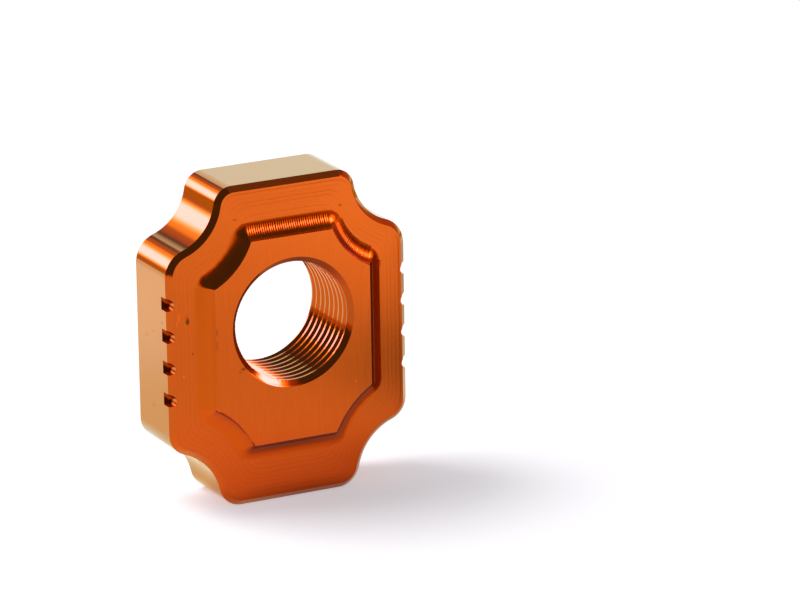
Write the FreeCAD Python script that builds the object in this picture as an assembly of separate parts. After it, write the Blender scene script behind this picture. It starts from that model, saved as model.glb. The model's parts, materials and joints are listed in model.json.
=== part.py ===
import FreeCAD, Part
import math
import os

# Motorcycle chain adjuster: one axle block milled from aluminium bar, sizes in mm.
# X runs across the block, Z up its height, -Y is the front with the raised pad.
# The axle bore lies along Y through the origin, the slab is centred on y = 0.

# Slab
BLOCK_WIDTH = 40.0
REACH_ABOVE_BORE = 22.0
REACH_BELOW_BORE = 28.4
SLAB_THICKNESS = 11.5
FRONT_CHAMFER = 0.85
BACK_EDGE_BREAK = 0.3

# Round cuts at the four corners: centres set in from the side and the end, blends to both flats
UPPER_SCALLOP_RADIUS = 8.2
UPPER_SCALLOP_FROM_SIDE = 0.2
UPPER_SCALLOP_FROM_END = 1.2
UPPER_END_BLEND = 3.0
UPPER_SIDE_BLEND = 4.3
LOWER_SCALLOP_RADIUS = 9.0
LOWER_SCALLOP_FROM_SIDE = -0.6
LOWER_SCALLOP_FROM_END = 1.0
LOWER_END_BLEND = 3.6
LOWER_SIDE_BLEND = 3.6

# Axle bore: plain at the inner diameter of its thread, with a 45 degree lead-in at both ends
THREAD_DIAMETER = 20.0
THREAD_PITCH = 1.5
CREST_CLEARANCE = 0.09
FRONT_LEAD_IN = 0.91
BACK_LEAD_IN = 0.5

# Raised pad: its land beyond the bore's mouth, and how far its hollow corners cut into it
PAD_HEIGHT = 1.7
PAD_SIDE_LAND = 2.8
PAD_TOP_LAND = 3.4
PAD_BOTTOM_LAND = 8.4
PAD_UPPER_CUT_ACROSS = 6.2
PAD_UPPER_CUT_DOWN = 6.6
PAD_UPPER_ARC_RADIUS = 12.0
PAD_LOWER_CUT_ACROSS = 6.1
PAD_LOWER_CUT_UP = 6.7
PAD_LOWER_ARC_RADIUS = 15.0
CUTTER_NOSE_RADIUS = 3.0

# Index notches in the front edge of both long sides
NOTCH_COUNT = 4
NOTCH_PITCH = 5.0
NOTCH_ROW_CENTRE = -2.5
NOTCH_RADIUS = 1.0
NOTCH_DEPTH = 2.4

# How far a tool body runs on past the face it cuts or joins
OVERLAP = 0.6

HALF_WIDTH = BLOCK_WIDTH / 2.0
FRONT_Y = -SLAB_THICKNESS / 2.0
BACK_Y = SLAB_THICKNESS / 2.0
PAD_Y = FRONT_Y - PAD_HEIGHT
BASIC_INNER_RADIUS = THREAD_DIAMETER / 2.0 - THREAD_PITCH * 0.625 * math.cos(math.radians(30.0))
BORE_RADIUS = BASIC_INNER_RADIUS + CREST_CLEARANCE
MOUTH_RADIUS = BORE_RADIUS + FRONT_LEAD_IN


def vec(x, y, z):
    return FreeCAD.Vector(x, y, z)


def point_at(centre, radius, angle):
    return (centre[0] + radius * math.cos(angle), centre[1] + radius * math.sin(angle))


def arc_edge(centre, radius, start, end, y):
    points = [point_at(centre, radius, a) for a in (start, (start + end) / 2.0, end)]
    return Part.Arc(*[vec(p[0], y, p[1]) for p in points]).toShape()


def line_edge(a, b, y):
    return Part.makeLine(vec(a[0], y, a[1]), vec(b[0], y, b[1]))


def corner_arcs(reach, radius, from_side, from_end, end_blend, side_blend):
    """Three tangent arcs of a +x +z corner, from its end flat round to its side flat."""
    scallop_x = HALF_WIDTH - from_side
    scallop_z = reach - from_end
    end_z = reach - end_blend
    end_x = scallop_x - math.sqrt((radius + end_blend) ** 2 - (scallop_z - end_z) ** 2)
    side_x = HALF_WIDTH - side_blend
    side_z = scallop_z - math.sqrt((radius + side_blend) ** 2 - (scallop_x - side_x) ** 2)
    end_angle = math.atan2(scallop_z - end_z, scallop_x - end_x)
    side_angle = math.atan2(scallop_z - side_z, scallop_x - side_x)
    return [
        ((end_x, end_z), end_blend, math.pi / 2.0, end_angle),
        ((scallop_x, scallop_z), radius, end_angle + math.pi, side_angle + math.pi),
        ((side_x, side_z), side_blend, side_angle, 0.0),
    ]


def mirrored(arcs, flip_x, flip_z):
    """The same arcs in another quadrant, in the same order."""
    out = []
    for centre, radius, start, end in arcs:
        moved = (-centre[0] if flip_x else centre[0], -centre[1] if flip_z else centre[1])
        if flip_x:
            start, end = math.pi - start, math.pi - end
        if flip_z:
            start, end = -start, -end
        out.append((moved, radius, start, end))
    return out


def backwards(arcs):
    return [(centre, radius, end, start) for centre, radius, start, end in reversed(arcs)]


def block_outline(y):
    """Closed outline of the slab, clockwise: four flats and the twelve arcs of its corners."""
    upper = corner_arcs(REACH_ABOVE_BORE, UPPER_SCALLOP_RADIUS, UPPER_SCALLOP_FROM_SIDE,
                        UPPER_SCALLOP_FROM_END, UPPER_END_BLEND, UPPER_SIDE_BLEND)
    lower = corner_arcs(REACH_BELOW_BORE, LOWER_SCALLOP_RADIUS, LOWER_SCALLOP_FROM_SIDE,
                        LOWER_SCALLOP_FROM_END, LOWER_END_BLEND, LOWER_SIDE_BLEND)
    arcs = upper + backwards(mirrored(lower, False, True))
    arcs += mirrored(lower, True, True) + backwards(mirrored(upper, True, False))
    edges = []
    for index, (centre, radius, start, end) in enumerate(arcs):
        edges.append(arc_edge(centre, radius, start, end, y))
        following = arcs[(index + 1) % len(arcs)]
        here = point_at(centre, radius, end)
        there = point_at(following[0], following[1], following[2])
        if math.dist(here, there) > 1e-6:
            edges.append(line_edge(here, there, y))
    return Part.Wire(edges)


def edges_on_plane(shape, y):
    return [e for e in shape.Edges if all(abs(v.Point.y - y) < 1e-6 for v in e.Vertexes)]


def make_slab():
    """The slab with its front chamfer and the small break round its back."""
    blank = Part.Face(block_outline(FRONT_Y)).extrude(vec(0, SLAB_THICKNESS, 0))
    chamfered = blank.makeChamfer(FRONT_CHAMFER, edges_on_plane(blank, FRONT_Y))
    return chamfered.makeChamfer(BACK_EDGE_BREAK, edges_on_plane(chamfered, BACK_Y))


def pad_corners():
    """The eight sharp corners of the pad, clockwise from the right end of its top flat."""
    side = MOUTH_RADIUS + PAD_SIDE_LAND
    top = MOUTH_RADIUS + PAD_TOP_LAND
    bottom = -MOUTH_RADIUS - PAD_BOTTOM_LAND
    right = [
        (side - PAD_UPPER_CUT_ACROSS, top),
        (side, top - PAD_UPPER_CUT_DOWN),
        (side, bottom + PAD_LOWER_CUT_UP),
        (side - PAD_LOWER_CUT_ACROSS, bottom),
    ]
    return right + [(-x, z) for x, z in reversed(right)]


def hollow_arc(a, b, radius):
    """Centre and end angles of the arc from a to b that curves in towards the bore."""
    chord = math.dist(a, b)
    away = ((a[1] - b[1]) / chord, (b[0] - a[0]) / chord)
    reach = math.sqrt(radius ** 2 - chord ** 2 / 4.0)
    centre = ((a[0] + b[0]) / 2.0 + away[0] * reach, (a[1] + b[1]) / 2.0 + away[1] * reach)
    start = math.atan2(a[1] - centre[1], a[0] - centre[0])
    end = math.atan2(b[1] - centre[1], b[0] - centre[0])
    return centre, start, start + shortest_turn(start, end)


def shortest_turn(start, end):
    return (end - start + math.pi) % (2.0 * math.pi) - math.pi


def foot_section(corner, heading):
    """Upright section of the pad's concave foot, from its top edge out to the floor."""
    nose = CUTTER_NOSE_RADIUS
    reach = math.sqrt(nose ** 2 - (nose - PAD_HEIGHT) ** 2)
    half_angle = math.acos((nose - PAD_HEIGHT) / nose) / 2.0

    def at(out, y):
        return vec(corner[0] + math.cos(heading) * out, y, corner[1] + math.sin(heading) * out)

    top = at(0.0, PAD_Y)
    midway = at(reach - nose * math.sin(half_angle), FRONT_Y - nose + nose * math.cos(half_angle))
    toe = at(reach, FRONT_Y)
    sunk_toe = at(reach, FRONT_Y + OVERLAP)
    sunk_root = at(0.0, FRONT_Y + OVERLAP)
    edges = [
        Part.Arc(top, midway, toe).toShape(),
        Part.makeLine(toe, sunk_toe),
        Part.makeLine(sunk_toe, sunk_root),
        Part.makeLine(sunk_root, top),
    ]
    return Part.Face(Part.Wire(edges))


def turned_foot(pivot, corner, heading, turn):
    """The foot's section turned about a pivot that is parallel to the bore."""
    section = foot_section(corner, heading)
    return section.revolve(vec(pivot[0], 0, pivot[1]), vec(0, -1, 0), math.degrees(turn))


def make_pad():
    """The raised pad: its core, with the concave foot along each side and round each corner."""
    corners = pad_corners()
    arc_radii = [PAD_UPPER_ARC_RADIUS, None, PAD_LOWER_ARC_RADIUS, None,
                 PAD_LOWER_ARC_RADIUS, None, PAD_UPPER_ARC_RADIUS, None]
    outline = []
    feet = []
    headings = []
    for index, a in enumerate(corners):
        b = corners[(index + 1) % len(corners)]
        radius = arc_radii[index]
        if radius is None:
            heading = math.atan2(b[0] - a[0], a[1] - b[1])
            outline.append(line_edge(a, b, PAD_Y))
            feet.append(foot_section(a, heading).extrude(vec(b[0] - a[0], 0, b[1] - a[1])))
            headings.append((heading, heading))
        else:
            centre, start, end = hollow_arc(a, b, radius)
            outline.append(arc_edge(centre, radius, start, end, PAD_Y))
            feet.append(turned_foot(centre, a, start + math.pi, end - start))
            headings.append((start + math.pi, end + math.pi))
    for index, corner in enumerate(corners):
        arriving = headings[index - 1][1]
        turn = shortest_turn(arriving, headings[index][0])
        feet.append(turned_foot(corner, corner, arriving, turn))
    core = Part.Face(Part.Wire(outline)).extrude(vec(0, PAD_HEIGHT + OVERLAP, 0))
    return core.multiFuse(feet)


def make_bore():
    """Tool body of the axle bore and its two lead-ins."""
    along = vec(0, 1, 0)
    before = vec(0, PAD_Y - OVERLAP, 0)
    behind = vec(0, BACK_Y + OVERLAP, 0)
    wall = Part.makeCylinder(BORE_RADIUS, behind.y - before.y, before, along)
    front_reach = FRONT_LEAD_IN + OVERLAP
    back_reach = BACK_LEAD_IN + OVERLAP
    front = Part.makeCone(BORE_RADIUS + front_reach, BORE_RADIUS, front_reach, before, along)
    back = Part.makeCone(BORE_RADIUS + back_reach, BORE_RADIUS, back_reach, behind, -along)
    return wall.multiFuse([front, back])


def make_notches():
    """Tool bodies of the index notches, open to the front, centred on the side faces."""
    notches = []
    for x in (-HALF_WIDTH, HALF_WIDTH):
        for index in range(NOTCH_COUNT):
            z = NOTCH_ROW_CENTRE + NOTCH_PITCH * (index - (NOTCH_COUNT - 1) / 2.0)
            mouth = vec(x, FRONT_Y - OVERLAP, z)
            notches.append(Part.makeCylinder(NOTCH_RADIUS, NOTCH_DEPTH + OVERLAP, mouth, vec(0, 1, 0)))
    return notches


def make_axle_block():
    """The whole block as one solid."""
    body = make_slab().fuse(make_pad()).removeSplitter()
    block = body.cut([make_bore()] + make_notches()).removeSplitter()
    return block.Solids[0]


os.makedirs("parts", exist_ok=True)
make_axle_block().exportStep("parts/axle_block.step")
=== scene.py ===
"""Motorcycle chain adjuster: the looks of its threaded axle block, and the stage it stands on.

Lengths are in metres. X runs across the block, Z up its height and -Y is the front with the raised pad.
"""

import json
import math
from collections import Counter

import bpy
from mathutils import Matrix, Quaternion, Vector


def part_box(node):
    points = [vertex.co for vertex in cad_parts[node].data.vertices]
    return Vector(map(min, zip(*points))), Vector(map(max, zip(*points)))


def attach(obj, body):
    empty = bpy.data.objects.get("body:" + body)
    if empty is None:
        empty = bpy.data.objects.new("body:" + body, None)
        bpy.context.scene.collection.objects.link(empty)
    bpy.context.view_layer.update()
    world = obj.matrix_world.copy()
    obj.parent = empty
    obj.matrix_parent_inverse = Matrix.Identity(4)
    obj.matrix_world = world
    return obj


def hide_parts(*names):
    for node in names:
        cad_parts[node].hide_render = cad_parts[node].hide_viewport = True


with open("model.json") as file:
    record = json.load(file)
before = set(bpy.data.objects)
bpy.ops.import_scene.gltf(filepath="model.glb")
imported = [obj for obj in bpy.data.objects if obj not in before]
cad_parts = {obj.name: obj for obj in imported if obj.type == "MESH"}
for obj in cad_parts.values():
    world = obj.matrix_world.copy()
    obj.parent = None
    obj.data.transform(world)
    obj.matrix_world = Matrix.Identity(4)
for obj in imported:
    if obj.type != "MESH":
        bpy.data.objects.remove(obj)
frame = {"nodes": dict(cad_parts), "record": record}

bl_info = {
    "name": "Chain Adjuster Block",
    "version": (1, 0, 0),
    "blender": (4, 5, 0),
    "location": "3D View > Sidebar > Chain Adjuster",
    "description": "Models the finish of a milled and anodised chain adjuster block, and its studio",
    "category": "Object",
}

MM = 0.001
NODE = "axle_block"

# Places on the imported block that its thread, its marks and its finish follow
LOW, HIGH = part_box(NODE)
MOUNTS = {mount["name"]: mount for mount in frame["record"]["mounts"]}
BORE_RADIUS = MOUNTS["axle_thread"]["dims"]["r_mm"] * MM
PAD_Y = LOW.y
BACK_Y = HIGH.y
# The base has its middle at the origin, so its floor lies as far forward as its back lies behind
FLOOR_Y = -BACK_Y
LEAD_IN = 0.91 * MM
MOUTH_RADIUS = BORE_RADIUS + LEAD_IN
# The light on the lead-in shows a countersink of 120 degrees, so it is shallower than it is wide
LEAD_IN_STEEPNESS = math.tan(math.radians(30.0))
# How close to such a place counts as lying on it
NEAR = 0.02 * MM

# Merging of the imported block's loose triangles: points that are one, and faces that are one flat
SAME_POINT = 0.001 * MM
SAME_FLAT = math.radians(0.4)
# Edges at least this sharp are broken, and then kept by the shading. The lead-in meets the pad at 30 degrees.
BROKEN_ANGLE = math.radians(25.0)
SHARP_ANGLE = math.radians(24.0)

# The thread's groove: the slope of its flanks, the root's share of the pitch, and steps in each turn
FLANK_ANGLE = math.radians(30.0)
ROOT_SHARE = 0.2
THREAD_STEPS = 144
# How far the groove's cutter stands out of the bore's wall
CUTTER_OVERRUN = 0.2 * MM

# How squarely a face of the pad, floor or back looks along the bore, and how much a face in the bore leans in
SQUARE = 0.999
LEAN = 0.05


def linear_rgb(colour):
    """The linear red, green and blue of an sRGB hex colour."""
    channels = [int(colour[i:i + 2], 16) / 255.0 for i in (1, 3, 5)]
    return [c / 12.92 if c <= 0.04045 else ((c + 0.055) / 1.055) ** 2.4 for c in channels]


def linear_rgba(colour):
    return linear_rgb(colour) + [1.0]


class ChainAdjusterSizes(bpy.types.PropertyGroup):
    thread_diameter: bpy.props.FloatProperty(
        name="Thread diameter", description="Outside diameter of the axle's thread",
        default=20.0 * MM, min=0.001, subtype="DISTANCE", unit="LENGTH")
    thread_pitch: bpy.props.FloatProperty(
        name="Thread pitch", description="Distance between neighbouring crests",
        default=1.5 * MM, min=0.0001, subtype="DISTANCE", unit="LENGTH")
    thread_start: bpy.props.FloatProperty(
        name="Thread start", description="Place of the first groove on the block's right, along the bore",
        default=-9.15 * MM, subtype="DISTANCE", unit="LENGTH")
    edge_break: bpy.props.FloatProperty(
        name="Edge break",
        description="Width of the tiny round that deburring and etching leave on each edge",
        default=0.07 * MM, min=0.0, subtype="DISTANCE", unit="LENGTH")


class ChainAdjusterFinish(bpy.types.PropertyGroup):
    dye: bpy.props.FloatVectorProperty(
        name="Dye", description="Colour of the dyed oxide over the aluminium",
        default=linear_rgb("#C45303"), size=3, min=0.0, max=1.0, subtype="COLOR")
    sheen: bpy.props.FloatProperty(
        name="Roughness", description="Roughness of the etched metal under the clear sealed oxide",
        default=0.16, min=0.0, max=1.0, subtype="FACTOR")
    table: bpy.props.FloatVectorProperty(
        name="Table", description="Colour of the paper on the studio table",
        default=linear_rgb("#E8E8EA"), size=3, min=0.0, max=1.0, subtype="COLOR")


# Shape of the block

def select_only(piece):
    bpy.ops.object.select_all(action="DESELECT")
    piece.select_set(True)
    bpy.context.view_layer.objects.active = piece


def apply_modifier(piece, modifier):
    select_only(piece)
    bpy.ops.object.modifier_apply(modifier=modifier.name)


def select_points(mesh, wanted):
    """Selects, from edit mode and back into it, the points whose place passes the test."""
    bpy.ops.mesh.select_all(action="DESELECT")
    bpy.ops.object.mode_set(mode="OBJECT")
    for point in mesh.vertices:
        point.select = wanted(point.co)
    bpy.ops.object.mode_set(mode="EDIT")


def copy_of_node(name):
    """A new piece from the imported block, with its loose triangles merged back into whole faces."""
    piece = bpy.data.objects.new(name, frame["nodes"][NODE].data.copy())
    bpy.context.scene.collection.objects.link(piece)
    piece.data.name = name
    piece.data.materials.clear()
    select_only(piece)
    bpy.ops.object.mode_set(mode="EDIT")
    bpy.ops.mesh.select_all(action="SELECT")
    bpy.ops.mesh.remove_doubles(threshold=SAME_POINT)
    bpy.ops.mesh.customdata_custom_splitnormals_clear()
    bpy.ops.mesh.dissolve_limited(angle_limit=SAME_FLAT)
    bpy.ops.object.mode_set(mode="OBJECT")
    return piece


def flatten_lead_in(piece):
    """Squeezes the bore's front lead-in towards the pad, to the depth of its countersink."""
    select_only(piece)
    bpy.ops.object.mode_set(mode="EDIT")
    select_points(piece.data, lambda place: place.y < PAD_Y + LEAD_IN + NEAR
                  and math.hypot(place.x, place.z) < MOUTH_RADIUS + NEAR)
    bpy.ops.transform.resize(value=(1.0, LEAD_IN_STEEPNESS, 1.0), center_override=(0.0, PAD_Y, 0.0))
    bpy.ops.object.mode_set(mode="OBJECT")


def break_edges(piece, width):
    """The tiny round that deburring leaves on every sharp edge, which catches a thin line of light."""
    bevel = piece.modifiers.new("Edge break", "BEVEL")
    bevel.width = width
    bevel.segments = 3
    bevel.limit_method = "ANGLE"
    bevel.angle_limit = BROKEN_ANGLE
    bevel.use_clamp_overlap = True
    apply_modifier(piece, bevel)


def make_thread_cutter(sizes):
    """A right-hand coil of the groove's section, with 60 degrees between its flanks and a flat root."""
    pitch = sizes.thread_pitch
    root_radius = sizes.thread_diameter / 2.0
    inner_radius = BORE_RADIUS - CUTTER_OVERRUN
    depth = root_radius - inner_radius
    root_width = ROOT_SHARE * pitch
    mouth_width = root_width + 2.0 * depth * math.tan(FLANK_ANGLE)
    turns = math.ceil((BACK_Y - sizes.thread_start) / pitch) + 1
    middle = (inner_radius + root_radius) / 2.0
    bpy.ops.object.select_all(action="DESELECT")
    bpy.ops.mesh.primitive_plane_add(size=1.0, location=(middle, sizes.thread_start, 0.0))
    cutter = bpy.context.object
    bpy.ops.object.mode_set(mode="EDIT")
    bpy.ops.transform.resize(value=(depth, mouth_width, 1.0))
    select_points(cutter.data, lambda place: place.x > 0.0)
    bpy.ops.transform.resize(value=(1.0, root_width / mouth_width, 1.0))
    bpy.ops.mesh.select_all(action="SELECT")
    bpy.ops.mesh.delete(type="ONLY_FACE")
    bpy.ops.object.mode_set(mode="OBJECT")
    bpy.ops.object.transform_apply(location=True, rotation=False, scale=False)
    coil = cutter.modifiers.new("Coil", "SCREW")
    coil.axis = "Y"
    coil.iterations = turns
    coil.screw_offset = pitch
    coil.steps = coil.render_steps = THREAD_STEPS
    apply_modifier(cutter, coil)
    bpy.ops.object.mode_set(mode="EDIT")
    bpy.ops.mesh.select_all(action="SELECT")
    bpy.ops.mesh.fill_holes(sides=4)
    bpy.ops.mesh.select_all(action="SELECT")
    bpy.ops.mesh.normals_make_consistent(inside=False)
    bpy.ops.object.mode_set(mode="OBJECT")
    return cutter


def cut_with(piece, cutter):
    """Takes the cutter's shape out of the piece and removes the cutter."""
    cut = piece.modifiers.new("Cut", "BOOLEAN")
    cut.operation = "DIFFERENCE"
    cut.solver = "EXACT"
    cut.object = cutter
    apply_modifier(piece, cut)
    bpy.data.objects.remove(cutter)


def check_block(piece):
    """Raises an error if the finished block is open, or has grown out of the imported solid's box."""
    uses = Counter(key for face in piece.data.polygons for key in face.edge_keys)
    open_edges = sum(count != 2 for count in uses.values())
    if open_edges:
        raise RuntimeError(f"{piece.name} isn't closed: {open_edges} edges don't have two faces")
    for point in piece.data.vertices:
        if any(not low - NEAR < place < high + NEAR for low, place, high in zip(LOW, point.co, HIGH)):
            raise RuntimeError(f"{piece.name} reaches out of the packed solid's box at {tuple(point.co)}")


def smooth_rounds(piece):
    """Smooth shading on the rounds, with the flats kept flat by the weight of their area."""
    select_only(piece)
    bpy.ops.object.shade_smooth_by_angle(angle=SHARP_ANGLE)
    weight = piece.modifiers.new("Flat faces lead", "WEIGHTED_NORMAL")
    weight.mode = "FACE_AREA"
    weight.weight = 100
    weight.keep_sharp = True
    apply_modifier(piece, weight)


def region_of(face):
    """The name of the cut that left a face of the block."""
    centre, normal = face.center, face.normal
    outwards = centre.x * normal.x + centre.z * normal.z
    from_axis = math.hypot(centre.x, centre.z)
    if from_axis < MOUTH_RADIUS + NEAR and outwards < -LEAN * from_axis:
        return "thread"
    if normal.y < -SQUARE and centre.y < PAD_Y + NEAR:
        return "pad"
    if normal.y < -SQUARE and abs(centre.y - FLOOR_Y) < NEAR:
        return "floor"
    if centre.y < FLOOR_Y + NEAR:
        return "foot"
    if normal.y > SQUARE:
        return "back"
    return "sides"


def pad_edge_points(mesh):
    """The points of the pad's top edge in order round it, from the mesh."""
    in_the_flat = PAD_Y + 0.1 * NEAR
    clear_of_mouth = MOUTH_RADIUS + 10.0 * NEAR
    points = [v.co.copy() for v in mesh.vertices
              if v.co.y < in_the_flat and math.hypot(v.co.x, v.co.z) > clear_of_mouth]
    return sorted(points, key=lambda p: math.atan2(p.z, p.x))


def along_and_away(spot, edge, lengths):
    """How far along the pad's edge, and how far away from it, a spot lies, in millimetres."""
    best = None
    for index, a in enumerate(edge):
        run = edge[(index + 1) % len(edge)] - a
        if run.length_squared == 0.0:
            continue
        share = min(max((spot - a).dot(run) / run.length_squared, 0.0), 1.0)
        away = (spot - a - run * share).length
        if best is None or away < best[1]:
            best = (lengths[index] + share * run.length, away)
    return (best[0] / MM, best[1] / MM)


def map_foot(piece):
    """UV map of the pad's foot, in millimetres: U runs along the pad's edge and V away from it."""
    mesh = piece.data
    edge = [Vector((p.x, p.z)) for p in pad_edge_points(mesh)]
    lengths = [0.0]
    for a, b in zip(edge, edge[1:] + edge[:1]):
        lengths.append(lengths[-1] + (b - a).length)
    uv = mesh.uv_layers.new(name="foot")
    for face in mesh.polygons:
        if region_of(face) != "foot":
            continue
        for corner in face.loop_indices:
            place = mesh.vertices[mesh.loops[corner].vertex_index].co
            uv.data[corner].uv = along_and_away(Vector((place.x, place.z)), edge, lengths)


# Marks that the cutters left

# Round cuts at the four corners, as across, up and radius in mm. The floor's milling marks run along them.
UPPER_CUT = (19.8, 20.8, 8.2)
LOWER_CUT = (20.6, -27.4, 9.0)
# Distance in mm over which the floor's passes turn from one side of the outline to the next
SOFT_TURN = 3.0

# Distance between the floor's passes and how far they waver, in mm, and their strength beside the fine lines
PASS_SPACING = 0.7
PASS_WAVER = 0.2
PASS_SHARE = 0.18

# Distance between the ribs of the pad's foot and how far they waver, in mm
RIB_SPACING = 0.37
RIB_WAVER = 0.15
# Heights in mm between which the ribs set in, and places across the block between which they do
RIBS_FROM_Z = (5.5, 7.0)
RIBS_FROM_X = (-7.5, -6.0)


def add_node(tree, kind, inputs=None, **settings):
    """Adds a node. Each input gets a value, or a link if what it is given is another node's output."""
    node = tree.nodes.new(kind)
    for name, value in settings.items():
        setattr(node, name, value)
    for socket, value in (inputs or {}).items():
        if isinstance(value, bpy.types.NodeSocket):
            tree.links.new(value, node.inputs[socket])
        else:
            node.inputs[socket].default_value = value
    return node


def places_in_mm(tree):
    """Object coordinates in millimetres, as a vector and as its three parts."""
    coordinates = add_node(tree, "ShaderNodeTexCoord")
    places = add_node(tree, "ShaderNodeVectorMath", {0: coordinates.outputs["Object"], "Scale": 1.0 / MM},
                      operation="SCALE").outputs[0]
    parts = add_node(tree, "ShaderNodeSeparateXYZ", {0: places})
    return places, parts.outputs


def distance_from_outline(tree, parts):
    """How far a place on the block's front lies inside its outline, in mm, with soft creases."""
    across = add_node(tree, "ShaderNodeMath", {0: parts["X"]}, operation="ABSOLUTE").outputs[0]
    folded = add_node(tree, "ShaderNodeCombineXYZ", {"X": across, "Z": parts["Z"]}).outputs[0]
    distances = [
        add_node(tree, "ShaderNodeMath", {0: HIGH.x / MM, 1: across}, operation="SUBTRACT").outputs[0],
        add_node(tree, "ShaderNodeMath", {0: HIGH.z / MM, 1: parts["Z"]}, operation="SUBTRACT").outputs[0],
        add_node(tree, "ShaderNodeMath", {0: parts["Z"], 1: LOW.z / MM}, operation="SUBTRACT").outputs[0],
    ]
    for x, z, radius in (UPPER_CUT, LOWER_CUT):
        centre = add_node(tree, "ShaderNodeVectorMath", {0: folded, 1: (x, 0.0, z)},
                          operation="DISTANCE").outputs["Value"]
        distances.append(add_node(tree, "ShaderNodeMath", {0: centre, 1: radius},
                                  operation="SUBTRACT").outputs[0])
    nearest = distances[0]
    for distance in distances[1:]:
        nearest = add_node(tree, "ShaderNodeMath", {0: nearest, 1: distance, 2: SOFT_TURN},
                           operation="SMOOTH_MIN").outputs[0]
    return nearest


# Each maker of marks gives their pattern, from about 0 to 1, and how ribbed each place is or None
def floor_marks(tree, places, parts):
    """Passes of the end mill that cleared the floor, along the outline, with finer lines between them."""
    depth = distance_from_outline(tree, parts)
    waver = add_node(tree, "ShaderNodeTexNoise", {"Vector": places, "Scale": 0.35, "Detail": 2.0}).outputs[0]
    line = add_node(tree, "ShaderNodeMath", {0: waver, 1: PASS_WAVER, 2: depth},
                    operation="MULTIPLY_ADD").outputs[0]
    angle = add_node(tree, "ShaderNodeMath", {0: line, 1: 2.0 * math.pi / PASS_SPACING},
                     operation="MULTIPLY").outputs[0]
    passes = add_node(tree, "ShaderNodeMath", {0: angle}, operation="SINE").outputs[0]
    fine = add_node(tree, "ShaderNodeTexNoise", {"W": line, "Scale": 2.6, "Detail": 3.0, "Roughness": 0.7},
                    noise_dimensions="1D").outputs[0]
    marks = add_node(tree, "ShaderNodeMath", {0: passes, 1: PASS_SHARE, 2: fine},
                     operation="MULTIPLY_ADD").outputs[0]
    return marks, None


def rib_marks(tree, places, parts):
    """Steps of the ball-nosed cutter across the pad's upper foot. Lower down and on the left it ran finer."""
    seam = add_node(tree, "ShaderNodeUVMap", uv_map="foot").outputs[0]
    along = add_node(tree, "ShaderNodeSeparateXYZ", {0: seam}).outputs["X"]
    waver = add_node(tree, "ShaderNodeTexNoise", {"W": along, "Scale": 1.3, "Detail": 2.0},
                     noise_dimensions="1D").outputs[0]
    line = add_node(tree, "ShaderNodeMath", {0: waver, 1: RIB_WAVER, 2: along},
                    operation="MULTIPLY_ADD").outputs[0]
    angle = add_node(tree, "ShaderNodeMath", {0: line, 1: 2.0 * math.pi / RIB_SPACING},
                     operation="MULTIPLY").outputs[0]
    wave = add_node(tree, "ShaderNodeMath", {0: angle}, operation="SINE").outputs[0]
    upper, right = [
        add_node(tree, "ShaderNodeMapRange", {
            "Value": parts[axis], "From Min": start, "From Max": full}).outputs[0]
        for axis, (start, full) in (("Z", RIBS_FROM_Z), ("X", RIBS_FROM_X))]
    there = add_node(tree, "ShaderNodeMath", {0: upper, 1: right}, operation="MULTIPLY").outputs[0]
    ribs = add_node(tree, "ShaderNodeMath", {0: wave, 1: there}, operation="MULTIPLY").outputs[0]
    marks = add_node(tree, "ShaderNodeMath", {0: ribs, 1: 0.5, 2: 0.5}, operation="MULTIPLY_ADD").outputs[0]
    return marks, there


def streak_marks(scale):
    """Returns a maker of parallel streaks, long in the direction whose scale, per mm, is small.

    The feed lines of a fine cut are too fine to show, so they are drawn about 0.4 mm wide.
    """
    def streaks(tree, places, parts):
        drawn = add_node(tree, "ShaderNodeMapping", {"Vector": places, "Scale": scale}).outputs[0]
        marks = add_node(tree, "ShaderNodeTexNoise", {"Vector": drawn, "Scale": 1.0, "Detail": 3.0,
                                                      "Roughness": 0.6}).outputs[0]
        return marks, None
    return streaks


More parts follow.
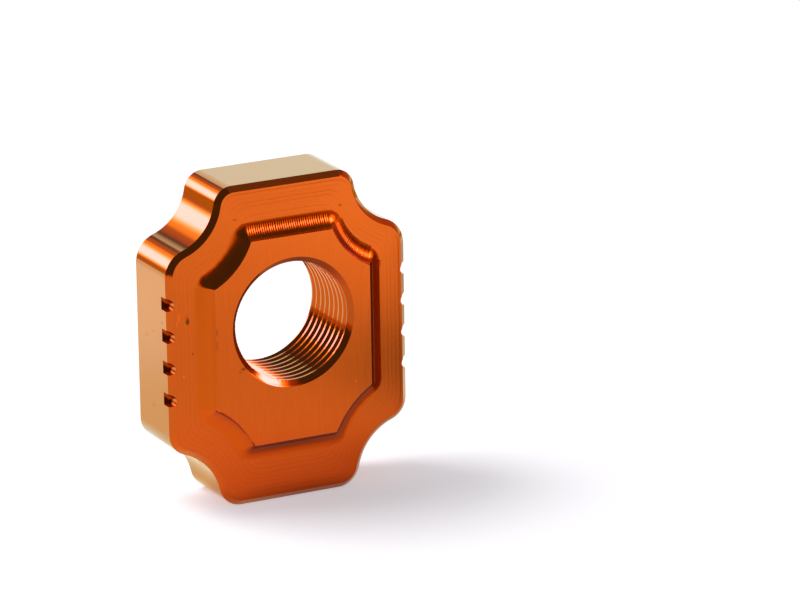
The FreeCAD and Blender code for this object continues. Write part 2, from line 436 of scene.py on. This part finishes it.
# Wear and dirt on each cut, with painted shade and light on the lead-in and the foot: place and half sizes in
# mm, and how much darker it is, or paler if below 0
FLAWS_AND_PAINTED_LIGHT = {
    "floor": [
        ((-16.86, -5.75, 2.16), (0.32, 1.0, 0.50), 0.75),      # pit beside the index notches
        ((-16.92, -5.75, 2.85), (0.14, 1.0, 0.35), 0.35),      # its tail
        ((-16.10, -5.75, -2.98), (0.20, 1.0, 0.24), 0.35),     # specks
        ((-8.59, -5.75, 16.86), (0.38, 1.0, 0.16), 0.35),
        ((8.98, -5.75, 16.65), (0.32, 1.0, 0.20), 0.45),
        ((-17.04, -5.75, -18.33), (0.50, 1.0, 0.14), 0.35),
        ((-18.24, -5.75, 3.00), (0.12, 1.0, 0.70), -0.35),     # pale scratches and fleck
        ((-18.65, -5.75, 2.10), (0.10, 1.0, 0.50), -0.25),
        ((-17.69, -5.75, -6.36), (0.12, 1.0, 0.28), -0.50),
    ],
    "pad": [
        ((-12.80, -7.45, 0.30), (0.16, 1.0, 0.60), 0.30),      # dirt along the pad's left edge
        ((-12.85, -7.45, -1.80), (0.12, 1.0, 0.90), 0.30),
        ((-8.55, -7.45, -6.10), (0.42, 1.0, 0.26), 0.55),      # scratch by the bore's mouth
        ((-9.10, -7.45, -6.55), (0.30, 1.0, 0.16), 0.35),
        ((10.24, -7.45, -10.94), (0.13, 1.0, 0.13), -0.60),    # pale speck
    ],
    "thread": [
        ((-2.46, -6.20, -9.10), (0.20, 0.60, 0.60), 0.95),     # three dots of dirt where the thread starts
        ((-1.82, -6.20, -9.25), (0.20, 0.60, 0.60), 0.95),
        ((-1.20, -6.20, -9.35), (0.20, 0.60, 0.60), 0.95),
        ((3.64, -7.20, 9.02), (6.00, 0.80, 5.20), 0.55),       # painted shade for a dark reflection in the lead-in's upper right
        ((9.80, -7.20, 1.50), (4.00, 0.60, 7.50), 0.22),       # and weaker painted shade farther down
    ],
    "sides": [
        ((-20.0, -3.43, 1.87), (1.0, 0.50, 0.28), 0.25),       # faint spots on the left side
        ((-20.0, 2.16, -1.37), (1.0, 0.60, 0.25), 0.20),
        ((-20.0, -0.07, -0.30), (1.0, 0.35, 0.20), 0.18),
        ((-20.0, 0.36, -12.12), (1.0, 0.50, 0.24), 0.22),
    ],
    "foot": [
        ((-10.80, -7.45, -14.00), (3.00, 0.14, 3.00), -1.50),  # pale rub along the pad's lower left edge, partly painted light over the dark reflection there
        ((-0.50, -6.50, 15.20), (7.50, 1.20, 2.00), 0.36),     # painted shade dimming the highlight on the ribbed upper foot and its upper right arc
        ((9.60, -6.50, 10.90), (2.60, 1.20, 2.60), 0.42),
    ],
    "back": [],
}
# A flaw or painted spot fades out between these shares of its half sizes
SPOT_EDGE = (0.5, 1.3)


def flaw_and_painted_light_marks(tree, places, flaws_and_painted_light):
    """How much darker flaws and painted shade make each place, from 0 to 1, or paler below 0, for pale marks
    and painted light.
    """
    total = 0.0
    for centre, half_sizes, strength in flaws_and_painted_light:
        away = add_node(tree, "ShaderNodeVectorMath", {0: places, 1: centre}, operation="SUBTRACT").outputs[0]
        away = add_node(tree, "ShaderNodeVectorMath", {0: away, 1: half_sizes}, operation="DIVIDE").outputs[0]
        away = add_node(tree, "ShaderNodeVectorMath", {0: away}, operation="LENGTH").outputs["Value"]
        spot = add_node(tree, "ShaderNodeMapRange", {
            "Value": away, "From Min": SPOT_EDGE[1], "From Max": SPOT_EDGE[0],
            "To Min": 0.0, "To Max": strength}).outputs[0]
        total = add_node(tree, "ShaderNodeMath", {0: spot, 1: total}, operation="ADD").outputs[0]
    return total


# Anodised finishes

# Unevenness of the dye, about 8 mm and 0.4 mm across: its noise scale per mm, and its strength.
# The etched metal's real grit is too fine to show, so it is drawn as coarse as the smaller one.
CLOUD_SCALE = 0.12
CLOUD = 0.06
GRIT_SCALE = 2.4
GRIT = 0.15
# Share by which the marks change the metal's roughness each way
ROUGHER = 0.15
# Share of the foot's gloss that is left where the cutter's coarse steps rib it
RIBBED_GLOSS = 0.13
# Colour of the dyed metal's gloss where it is seen at a grazing angle
EDGE_TINT = linear_rgba("#E7FFF3")
# The slant, from 0 facing the eye to 1 edge on, between which the mirror turns yellower
SLANT = (0.25, 0.75)


def anodised_aluminium(name, finish, marks, flaws_and_painted_light, height, shading, roughness, slant_green=1.0, grain=0.0,
                       gloss_share=1.0):
    """Dyed and sealed oxide on milled aluminium.

    The metal gives its deep orange mirror, the clear sealed oxide over it a paler gloss at grazing
    angles, and the cutter's marks, height metres deep, break both up into fine lines. Shading is how
    much the dye is darkened in the marks' hollows, painted shade for the light that the marks catch.
    In the bore and down the sides the mirror turns yellower with the slant, up to slant_green times
    the dye's green. Grain is how much more the cutter's fine steps spread the light along the foot
    than across it, and gloss_share how much of the oxide's gloss they leave. The ribs leave little of it.
    """
    material = bpy.data.materials.new(name)
    material.use_nodes = True
    tree = material.node_tree
    tree.nodes.clear()
    places, parts = places_in_mm(tree)
    pattern, ribbed = marks(tree, places, parts)
    cloud = add_node(tree, "ShaderNodeTexNoise", {"Vector": places, "Scale": CLOUD_SCALE,
                                                  "Detail": 3.0}).outputs[0]
    grit = add_node(tree, "ShaderNodeTexNoise", {"Vector": places, "Scale": GRIT_SCALE, "Detail": 3.0,
                                                 "Roughness": 0.7}).outputs[0]
    shade = 1.0 - 0.5 * (shading + CLOUD + GRIT)
    for patches, strength in ((pattern, shading), (cloud, CLOUD), (grit, GRIT)):
        shade = add_node(tree, "ShaderNodeMath", {0: patches, 1: strength, 2: shade},
                         operation="MULTIPLY_ADD").outputs[0]
    worn_or_painted = add_node(tree, "ShaderNodeMath", {0: 1.0, 1: flaw_and_painted_light_marks(tree, places, flaws_and_painted_light)},
                    operation="SUBTRACT").outputs[0]
    shade = add_node(tree, "ShaderNodeMath", {0: shade, 1: worn_or_painted}, operation="MULTIPLY").outputs[0]
    slant = add_node(tree, "ShaderNodeLayerWeight", {"Blend": 0.5}).outputs["Facing"]
    green = add_node(tree, "ShaderNodeMapRange", {
        "Value": slant, "From Min": SLANT[0], "From Max": SLANT[1],
        "To Min": 1.0, "To Max": slant_green}).outputs[0]
    turned = add_node(tree, "ShaderNodeCombineXYZ", {"X": 1.0, "Y": green, "Z": 1.0}).outputs[0]
    dye = add_node(tree, "ShaderNodeVectorMath", {0: tuple(finish.dye), 1: turned},
                   operation="MULTIPLY").outputs[0]
    dye = add_node(tree, "ShaderNodeVectorMath", {0: dye, "Scale": shade}, operation="SCALE").outputs[0]
    rough = add_node(tree, "ShaderNodeMapRange", {
        "Value": pattern, "To Min": roughness * (1.0 - ROUGHER),
        "To Max": roughness * (1.0 + ROUGHER)}).outputs[0]
    bump = add_node(tree, "ShaderNodeBump", {"Height": pattern, "Distance": height}).outputs[0]
    shader = add_node(tree, "ShaderNodeBsdfPrincipled", {
        "Base Color": dye, "Metallic": 1.0, "Roughness": rough, "Normal": bump,
        "Specular Tint": EDGE_TINT, "Coat Weight": gloss_share, "Coat Roughness": 0.06, "Coat IOR": 1.2,
        "Coat Normal": bump, "Anisotropic": grain})
    if ribbed is not None:
        cover = add_node(tree, "ShaderNodeMapRange", {"Value": ribbed, "To Min": gloss_share,
                                                      "To Max": gloss_share * RIBBED_GLOSS}).outputs[0]
        tree.links.new(cover, shader.inputs["Coat Weight"])
        along = add_node(tree, "ShaderNodeTangent", direction_type="UV_MAP", uv_map="foot")
        tree.links.new(along.outputs[0], shader.inputs["Tangent"])
    add_node(tree, "ShaderNodeOutputMaterial", {"Surface": shader.outputs[0]})
    return material


def finishes(finish):
    """The block's materials by region: one dye, and the marks that each cut left under it."""
    sheen = finish.sheen
    return {
        "pad": anodised_aluminium(
            "anodised_face_milled", finish, streak_marks((2.8, 1.0, 0.2)), FLAWS_AND_PAINTED_LIGHT["pad"],
            height=0.002 * MM, shading=0.2, roughness=sheen),
        "floor": anodised_aluminium(
            "anodised_contour_milled", finish, floor_marks, FLAWS_AND_PAINTED_LIGHT["floor"],
            height=0.011 * MM, shading=0.14, roughness=sheen),
        "foot": anodised_aluminium(
            "anodised_ball_milled", finish, rib_marks, FLAWS_AND_PAINTED_LIGHT["foot"],
            height=0.03 * MM, shading=0.2, roughness=sheen, grain=0.8, gloss_share=0.55),
        "sides": anodised_aluminium(
            "anodised_profile_milled", finish, streak_marks((2.5, 0.15, 2.5)), FLAWS_AND_PAINTED_LIGHT["sides"],
            height=0.003 * MM, shading=0.1, roughness=sheen * 0.8, slant_green=2.35),
        "thread": anodised_aluminium(
            "anodised_tapped", finish, streak_marks((0.6, 3.0, 0.6)), FLAWS_AND_PAINTED_LIGHT["thread"],
            height=0.002 * MM, shading=0.04, roughness=sheen * 0.7, slant_green=2.35),
        "back": anodised_aluminium(
            "anodised_back_milled", finish, streak_marks((2.2, 1.0, 0.12)), FLAWS_AND_PAINTED_LIGHT["back"],
            height=0.002 * MM, shading=0.05, roughness=sheen),
    }


def wear_finishes(piece, materials):
    """Gives each face of the block the finish of the cut that left it."""
    names = list(materials)
    for name in names:
        piece.data.materials.append(materials[name])
    for face in piece.data.polygons:
        face.material_index = names.index(region_of(face))


class CHAINADJUSTER_OT_axle_block(bpy.types.Operator):
    """Models the block's thread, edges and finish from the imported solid"""
    bl_idname = "chain_adjuster.axle_block"
    bl_label = "Threaded axle block"
    bl_options = {"REGISTER", "UNDO"}

    def execute(self, context):
        sizes = context.scene.chain_adjuster_sizes
        finish = context.scene.chain_adjuster_finish
        piece = copy_of_node("threaded_axle_block")
        flatten_lead_in(piece)
        break_edges(piece, sizes.edge_break)
        cut_with(piece, make_thread_cutter(sizes))
        check_block(piece)
        smooth_rounds(piece)
        map_foot(piece)
        wear_finishes(piece, finishes(finish))
        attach(piece, "root")
        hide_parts(NODE)
        return {"FINISHED"}


# Stage

# The photograph's viewing angle: the camera's place round a point in the floor's plane, and its lens
CAMERA_TARGET = Vector((18.863 * MM, FLOOR_Y, 0.143 * MM))
CAMERA_AZIMUTH = -26.829
CAMERA_ELEVATION = 16.977
CAMERA_ROLL = -0.932
CAMERA_DISTANCE = 897.6 * MM
CAMERA_LENS = 264.86

# Width of the table, and how much its paper glows where it is looked at, so that it is white
TABLE_SIZE = 1.8
PAPER_LIFT = 0.53
# Painted pools of light and shade on the paper, which only the metal mirrors: centre, spread and change of
# its colour
PAINTED_PAPER_POOLS = [
    ((100.0, -155.0), (130.0, 110.0), (0.48, 0.52, 0.48)),      # pool of light from the softbox on the right
    ((104.0, -142.0), (72.0, 76.0), (0.24, 0.27, 0.24)),        # and its bright middle
    ((54.0, -56.0), (36.0, 42.0), (-0.60, -0.50, -0.44)),       # shade in front of the block on the right
    ((28.0, -14.0), (22.0, 18.0), (-0.22, -0.24, -0.25)),       # deepest shade at its right foot
    ((4.0, -7.0), (28.0, 8.0), (-0.38, -0.24, -0.20)),          # and close under its front
    ((-100.0, 0.0), (55.0, 60.0), (-0.16, -0.20, -0.22)),       # painted shade on the paper on the left
    ((-66.0, 100.0), (60.0, 70.0), (0.22, 0.18, 0.16)),         # painted light on the paper behind on the left
    ((-18.0, 9.0), (24.0, 20.0), (-0.12, -0.28, -0.60)),        # orange light from the block's left end
    ((-40.0, 44.0), (34.0, 38.0), (0.02, -0.05, -0.30)),        # and farther behind it
    ((34.0, 6.0), (26.0, 22.0), (-0.42, -0.58, -0.75)),         # brown shade behind on the right
    ((115.0, 45.0), (78.0, 65.0), (-0.34, -0.42, -0.48)),       # and farther off
    ((0.0, -20.0), (60.0, 50.0), (0.18, -0.02, 0.02)),          # orange light that the block casts before it
    ((8.0, 56.0), (36.0, 44.0), (-0.05, -0.15, -0.45)),         # and behind it
]
# The broad soft painted shade round the block's foot, which is seen as well as mirrored, in the same terms
CONTACT_SHADE = ((10.0, -16.0), (42.0, 40.0), (-0.13, -0.13, -0.13))

# The white paper's edges across and along the camera's view: its left and near ones, then right and far
PAPER_LOW = Vector((-270.0, -260.0)) * MM
PAPER_HIGH = Vector((200.0, 880.0)) * MM
BOARD_COLOUR = linear_rgba("#E19B19")
# How far the boards lie above the table, so that they hide the paper from the metal
BOARD_LIFT = 0.2 * MM

# Lowest and highest corner of the dark card on the right
FLAG_LOW = Vector((30.0 * MM, -25.0 * MM, LOW.z))
FLAG_HIGH = Vector((30.0 * MM, -5.0 * MM, 8.0 * MM))
FLAG_COLOUR = linear_rgba("#864B19")

# What the metal mirrors above the table: (azimuth, elevation), (width, height), soft edge, level.
# A level of 1 is a lamp behind its diffuser, and 0.2 the dim brown room.
LEFT_LIGHTS = [
    ((-156.0, 14.0), (32.0, 20.0), 11.0, 0.9),     # softbox behind on the left
    ((-160.0, 26.0), (20.0, 12.0), 9.0, 0.36),     # its cloth's dim end
    ((-145.0, 5.0), (70.0, 60.0), 10.0, 0.18),     # brown wall behind on the left
]
RIGHT_LIGHTS = [
    ((54.0, 27.0), (27.0, 19.0), 8.0, 1.5),        # strobe in a softbox on the right
    ((53.0, 26.0), (36.0, 44.0), 12.0, 0.62),      # the softbox's cloth round it
    ((34.0, 27.0), (22.0, 22.0), 10.0, 0.18),      # and its dim end towards the camera
    ((84.0, 23.0), (40.0, 38.0), 12.0, 0.16),      # brown wall on the right
    ((60.0, 0.0), (100.0, 16.0), 12.0, 0.18),      # and its foot
]
# Red, green and blue of a lamp at a level of 1
LEFT_STRENGTH = (7.0, 4.35, 16.0)
RIGHT_STRENGTH = (6.6, 4.6, 9.0)
# How steeply red, green and blue fall with the level. Blue falls most, so a dim light is brown.
FALL = (1.3, 1.58, 4.9)
# Colourless light in the same terms, where a level of 1 is plain white: the sweep behind and the ceiling
SWEEP = ((138.0, 10.0), (76.0, 54.0), 5.0, 1.12)
CEILING = ((60.0, 64.0), (100.0, 34.0), 16.0, 0.22)
# The dark of the rest of the room
DARK = linear_rgb("#55616C")
ROOM_RADIUS = 1.6

# The overhead lamp: its direction and its width from the block in degrees, and its brightness, 1 for white
KEY_PLACE = (-128.0, 57.0)
KEY_SPREAD = 28.0
KEY_DISTANCE = 0.8
KEY_BRIGHTNESS = 7.8


def direction(azimuth, elevation):
    """Unit vector towards a place round the block. Azimuth 0 is the front and 90 the right, in degrees."""
    a, e = math.radians(azimuth), math.radians(elevation)
    return Vector((math.sin(a) * math.cos(e), -math.cos(a) * math.cos(e), math.sin(e)))


def make_camera():
    back = direction(CAMERA_AZIMUTH, CAMERA_ELEVATION)
    bpy.ops.object.select_all(action="DESELECT")
    bpy.ops.object.camera_add(location=CAMERA_TARGET + back * CAMERA_DISTANCE)
    camera = bpy.context.object
    camera.name = "camera"
    camera.rotation_mode = "QUATERNION"
    roll = Quaternion((0.0, 0.0, 1.0), math.radians(CAMERA_ROLL))
    camera.rotation_quaternion = back.to_track_quat("Z", "Y") @ roll
    camera.data.lens = CAMERA_LENS
    camera.data.sensor_width = 36.0
    camera.data.clip_start = 0.05
    camera.data.clip_end = 10.0
    bpy.context.scene.camera = camera


def make_key_lamp():
    """A flat square lamp high behind on the left, which faces the block and casts its soft shadow."""
    away = direction(*KEY_PLACE)
    width = 2.0 * KEY_DISTANCE * math.tan(math.radians(KEY_SPREAD) / 2.0)
    bpy.ops.object.select_all(action="DESELECT")
    bpy.ops.object.light_add(type="AREA", location=away * KEY_DISTANCE)
    lamp = bpy.context.object
    lamp.name = "key_overhead"
    lamp.rotation_mode = "QUATERNION"
    lamp.rotation_quaternion = away.to_track_quat("Z", "Y")
    lamp.data.shape = "SQUARE"
    lamp.data.size = width
    lamp.data.energy = KEY_BRIGHTNESS * math.pi * width * width
    lamp.visible_camera = False


def seen_share(tree):
    """One for what the camera, metal and glass see, and zero for what lights a dull surface."""
    path = add_node(tree, "ShaderNodeLightPath")
    share = path.outputs["Is Camera Ray"]
    for name in ("Is Glossy Ray", "Is Transmission Ray"):
        share = add_node(tree, "ShaderNodeMath", {0: share, 1: path.outputs[name]},
                         operation="ADD").outputs[0]
    return share


def empty_material(name):
    material = bpy.data.materials.new(name)
    material.use_nodes = True
    material.node_tree.nodes.clear()
    return material, material.node_tree


def glowing_material(name, colour):
    """A plain glow of one colour, as the metal mirrors a lit board or card."""
    material, tree = empty_material(name)
    glow = add_node(tree, "ShaderNodeEmission", {"Color": colour})
    add_node(tree, "ShaderNodeOutputMaterial", {"Surface": glow.outputs[0]})
    return material


def hide_from_camera(piece):
    """Leaves a part of the stage to be seen by the metal only, and to cast no light or shadow."""
    piece.visible_camera = False
    piece.visible_diffuse = False
    piece.visible_shadow = False


def soft_spot(tree, parts, centre, spread):
    """One at a place on the table and soft towards 0 where spread ends, both in mm across and back."""
    offsets = {
        channel: add_node(tree, "ShaderNodeMath", {0: parts[channel], 1: middle},
                          operation="SUBTRACT").outputs[0]
        for channel, middle in zip("XY", centre)}
    away = add_node(tree, "ShaderNodeCombineXYZ", offsets).outputs[0]
    away = add_node(tree, "ShaderNodeVectorMath", {0: away, 1: (*spread, 1.0)},
                    operation="DIVIDE").outputs[0]
    away = add_node(tree, "ShaderNodeVectorMath", {0: away}, operation="LENGTH").outputs["Value"]
    return add_node(tree, "ShaderNodeMapRange", {"Value": away, "From Min": 1.0, "From Max": 0.0},
                    interpolation_type="SMOOTHERSTEP").outputs[0]


def make_table(finish):
    """A matt white studio table, lifted to white where it is looked at, and shaded by the block through the
    lamp's shadow and a painted shade round its foot. Painted pools of light and shade on it are seen only in
    the metal.
    """
    bpy.ops.object.select_all(action="DESELECT")
    bpy.ops.mesh.primitive_plane_add(size=TABLE_SIZE, location=(0.0, 0.0, LOW.z))
    table = bpy.context.object
    table.name = "studio_table"
    bpy.ops.object.transform_apply(location=True, rotation=False, scale=False)
    material, tree = empty_material("matt_white_paper")
    paper = add_node(tree, "ShaderNodeBsdfDiffuse", {"Color": [*finish.table, 1.0]})
    _, parts = places_in_mm(tree)
    mirrored = add_node(tree, "ShaderNodeLightPath").outputs["Is Glossy Ray"]
    seen = seen_share(tree)
    level = add_node(tree, "ShaderNodeMath", {0: seen, 1: PAPER_LIFT}, operation="MULTIPLY").outputs[0]
    spots = [(mirrored, pool) for pool in PAINTED_PAPER_POOLS] + [(seen, CONTACT_SHADE)]
    for share, (centre, spread, change) in spots:
        spot = soft_spot(tree, parts, centre, spread)
        spot = add_node(tree, "ShaderNodeMath", {0: spot, 1: share}, operation="MULTIPLY").outputs[0]
        level = add_node(tree, "ShaderNodeVectorMath", {0: spot, 1: change, 2: level},
                         operation="MULTIPLY_ADD").outputs[0]
    glow = add_node(tree, "ShaderNodeEmission", {"Color": level})
    both = add_node(tree, "ShaderNodeAddShader", {0: paper.outputs[0], 1: glow.outputs[0]})
    add_node(tree, "ShaderNodeOutputMaterial", {"Surface": both.outputs[0]})
    table.data.materials.append(material)


def make_boards():
    """Brown boards round the white paper, square to the camera's view, which only the metal mirrors. They
    glow their own colour, so the metal shows them as painted reflections.
    """
    bpy.ops.object.select_all(action="DESELECT")
    bpy.ops.mesh.primitive_plane_add(size=TABLE_SIZE, location=(0.0, 0.0, LOW.z + BOARD_LIFT))
    boards = bpy.context.object
    boards.name = "studio_boards"
    inset = TABLE_SIZE / 4.0
    halfway_out = 1.5 * inset
    bpy.ops.object.mode_set(mode="EDIT")
    bpy.ops.mesh.inset(thickness=inset)
    bpy.ops.mesh.delete(type="ONLY_FACE")
    for left in (True, False):
        for front in (True, False):
            select_points(boards.data, lambda place: max(abs(place.x), abs(place.y)) < halfway_out
                          and (place.x < 0.0) == left and (place.y < 0.0) == front)
            bpy.ops.transform.translate(value=(
                PAPER_LOW.x + inset if left else PAPER_HIGH.x - inset,
                PAPER_LOW.y + inset if front else PAPER_HIGH.y - inset, 0.0))
    bpy.ops.object.mode_set(mode="OBJECT")
    boards.rotation_euler.z = math.radians(CAMERA_AZIMUTH)
    bpy.ops.object.transform_apply(location=True, rotation=True, scale=False)
    boards.data.materials.append(glowing_material("brown_board", BOARD_COLOUR))
    hide_from_camera(boards)


def make_flag():
    """A narrow dark card close on the right, which draws a dark line down the metal's right-hand edges. It
    glows dark brown, so the line is a painted reflection.
    """
    size = FLAG_HIGH - FLAG_LOW
    bpy.ops.object.select_all(action="DESELECT")
    bpy.ops.mesh.primitive_plane_add(size=1.0, location=(FLAG_LOW + FLAG_HIGH) / 2.0,
                                     rotation=(0.0, math.pi / 2.0, 0.0))
    flag = bpy.context.object
    flag.name = "studio_flag"
    flag.scale = (size.z, size.y, 1.0)
    bpy.ops.object.transform_apply(location=True, rotation=True, scale=True)
    flag.data.materials.append(glowing_material("dark_brown_card", FLAG_COLOUR))
    hide_from_camera(flag)


def soft_window(tree, angles, centre, spread, edge, level):
    """The level of light inside a soft-edged window of the room, falling to 0 outside it.

    Centre and spread are azimuth and elevation as seen from the block, and edge is how wide the
    falling border is, all in degrees.
    """
    sides = []
    for angle, middle, across in zip(angles, centre, spread):
        off = add_node(tree, "ShaderNodeMath", {0: angle, 1: middle}, operation="SUBTRACT").outputs[0]
        off = add_node(tree, "ShaderNodeMath", {0: off, 1: 180.0, 2: -180.0}, operation="WRAP").outputs[0]
        off = add_node(tree, "ShaderNodeMath", {0: off}, operation="ABSOLUTE").outputs[0]
        sides.append(add_node(tree, "ShaderNodeMath", {0: off, 1: across / 2.0},
                              operation="SUBTRACT").outputs[0])
    outside = add_node(tree, "ShaderNodeMath", {0: sides[0], 1: sides[1]}, operation="MAXIMUM").outputs[0]
    return add_node(tree, "ShaderNodeMapRange", {
        "Value": outside, "From Min": edge / 2.0, "From Max": -edge / 2.0, "To Min": 0.0, "To Max": level},
        interpolation_type="SMOOTHSTEP").outputs[0]


def brightest(tree, values):
    most = values[0]
    for value in values[1:]:
        most = add_node(tree, "ShaderNodeMath", {0: most, 1: value}, operation="MAXIMUM").outputs[0]
    return most


def lamp_glow(tree, angles, lights, strength):
    """Glow of a group of lights. A weak light in the room is brown, and a strong one is white to the lens."""
    level = brightest(tree, [soft_window(tree, angles, *light) for light in lights])
    powers = add_node(tree, "ShaderNodeCombineXYZ", {
        channel: add_node(tree, "ShaderNodeMath", {0: level, 1: power}, operation="POWER").outputs[0]
        for channel, power in zip("XYZ", FALL)}).outputs[0]
    return add_node(tree, "ShaderNodeVectorMath", {0: powers, 1: strength},
                    operation="MULTIPLY").outputs[0]


def make_room():
    """The room that the metal mirrors: lamps, a white sweep behind, and the dark on the camera's side."""
    bpy.ops.object.select_all(action="DESELECT")
    bpy.ops.mesh.primitive_uv_sphere_add(segments=64, ring_count=32, radius=ROOM_RADIUS,
                                         location=(0.0, 0.0, 0.0))
    room = bpy.context.object
    room.name = "studio_room"
    material, tree = empty_material("room_with_lamps")
    coordinates = add_node(tree, "ShaderNodeTexCoord")
    towards = add_node(tree, "ShaderNodeVectorMath", {0: coordinates.outputs["Object"]},
                       operation="NORMALIZE").outputs[0]
    parts = add_node(tree, "ShaderNodeSeparateXYZ", {0: towards}).outputs
    front = add_node(tree, "ShaderNodeMath", {0: parts["Y"], 1: -1.0}, operation="MULTIPLY").outputs[0]
    turn = add_node(tree, "ShaderNodeMath", {0: parts["X"], 1: front}, operation="ARCTAN2").outputs[0]
    rise = add_node(tree, "ShaderNodeMath", {0: parts["Z"]}, operation="ARCSINE").outputs[0]
    angles = [add_node(tree, "ShaderNodeMath", {0: angle}, operation="DEGREES").outputs[0]
              for angle in (turn, rise)]
    seen = add_node(tree, "ShaderNodeVectorMath", {
        0: lamp_glow(tree, angles, LEFT_LIGHTS, LEFT_STRENGTH),
        1: lamp_glow(tree, angles, RIGHT_LIGHTS, RIGHT_STRENGTH)}, operation="MAXIMUM").outputs[0]
    pale = brightest(tree, [soft_window(tree, angles, *place) for place in (SWEEP, CEILING)])
    for other in (DARK, pale):
        seen = add_node(tree, "ShaderNodeVectorMath", {0: seen, 1: other}, operation="MAXIMUM").outputs[0]
    glow = add_node(tree, "ShaderNodeEmission", {"Color": seen})
    add_node(tree, "ShaderNodeOutputMaterial", {"Surface": glow.outputs[0]})
    room.data.materials.append(material)
    hide_from_camera(room)


def make_world():
    """Even light from the room for dull surfaces, and plain white where the camera or metal looks out."""
    world = bpy.data.worlds.new("studio_white")
    bpy.context.scene.world = world
    world.use_nodes = True
    tree = world.node_tree
    tree.nodes.clear()
    room_light = add_node(tree, "ShaderNodeBackground", {"Color": linear_rgba("#F4F0FF"), "Strength": 0.27})
    white = add_node(tree, "ShaderNodeBackground", {"Color": linear_rgba("#FFFFFF"), "Strength": 1.0})
    mixed = add_node(tree, "ShaderNodeMixShader", {0: seen_share(tree), 1: room_light.outputs[0],
                                                   2: white.outputs[0]})
    add_node(tree, "ShaderNodeOutputWorld", {"Surface": mixed.outputs[0]})
    world.cycles.sampling_method = "NONE"


class CHAINADJUSTER_OT_stage(bpy.types.Operator):
    """Sets up the white table, the room that the metal mirrors, the lamp and the camera"""
    bl_idname = "chain_adjuster.stage"
    bl_label = "Stage, lamp and camera"
    bl_options = {"REGISTER", "UNDO"}

    def execute(self, context):
        finish = context.scene.chain_adjuster_finish
        make_camera()
        make_table(finish)
        make_boards()
        make_room()
        make_flag()
        make_world()
        make_key_lamp()
        context.scene.view_settings.view_transform = "Standard"
        if context.scene.camera is None or context.scene.world is None:
            raise RuntimeError("The stage has no camera or no world to light it")
        return {"FINISHED"}


# Panel, registration and the run

class CHAINADJUSTER_PT_panel(bpy.types.Panel):
    bl_idname = "CHAINADJUSTER_PT_panel"
    bl_label = "Chain Adjuster"
    bl_space_type = "VIEW_3D"
    bl_region_type = "UI"
    bl_category = "Chain Adjuster"

    def draw(self, context):
        for group in (context.scene.chain_adjuster_sizes, context.scene.chain_adjuster_finish):
            box = self.layout.box()
            for name in group.__annotations__:
                box.prop(group, name)
        for operator in OPERATORS:
            self.layout.operator(operator.bl_idname)


OPERATORS = (CHAINADJUSTER_OT_axle_block, CHAINADJUSTER_OT_stage)
CLASSES = (ChainAdjusterSizes, ChainAdjusterFinish, *OPERATORS, CHAINADJUSTER_PT_panel)


def register():
    for cls in CLASSES:
        bpy.utils.register_class(cls)
    bpy.types.Scene.chain_adjuster_sizes = bpy.props.PointerProperty(type=ChainAdjusterSizes)
    bpy.types.Scene.chain_adjuster_finish = bpy.props.PointerProperty(type=ChainAdjusterFinish)


def unregister():
    del bpy.types.Scene.chain_adjuster_finish
    del bpy.types.Scene.chain_adjuster_sizes
    for cls in reversed(CLASSES):
        bpy.utils.unregister_class(cls)


def main():
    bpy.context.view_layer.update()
    register()
    bpy.ops.chain_adjuster.axle_block()
    bpy.ops.chain_adjuster.stage()


if __name__ == "__main__":
    main()
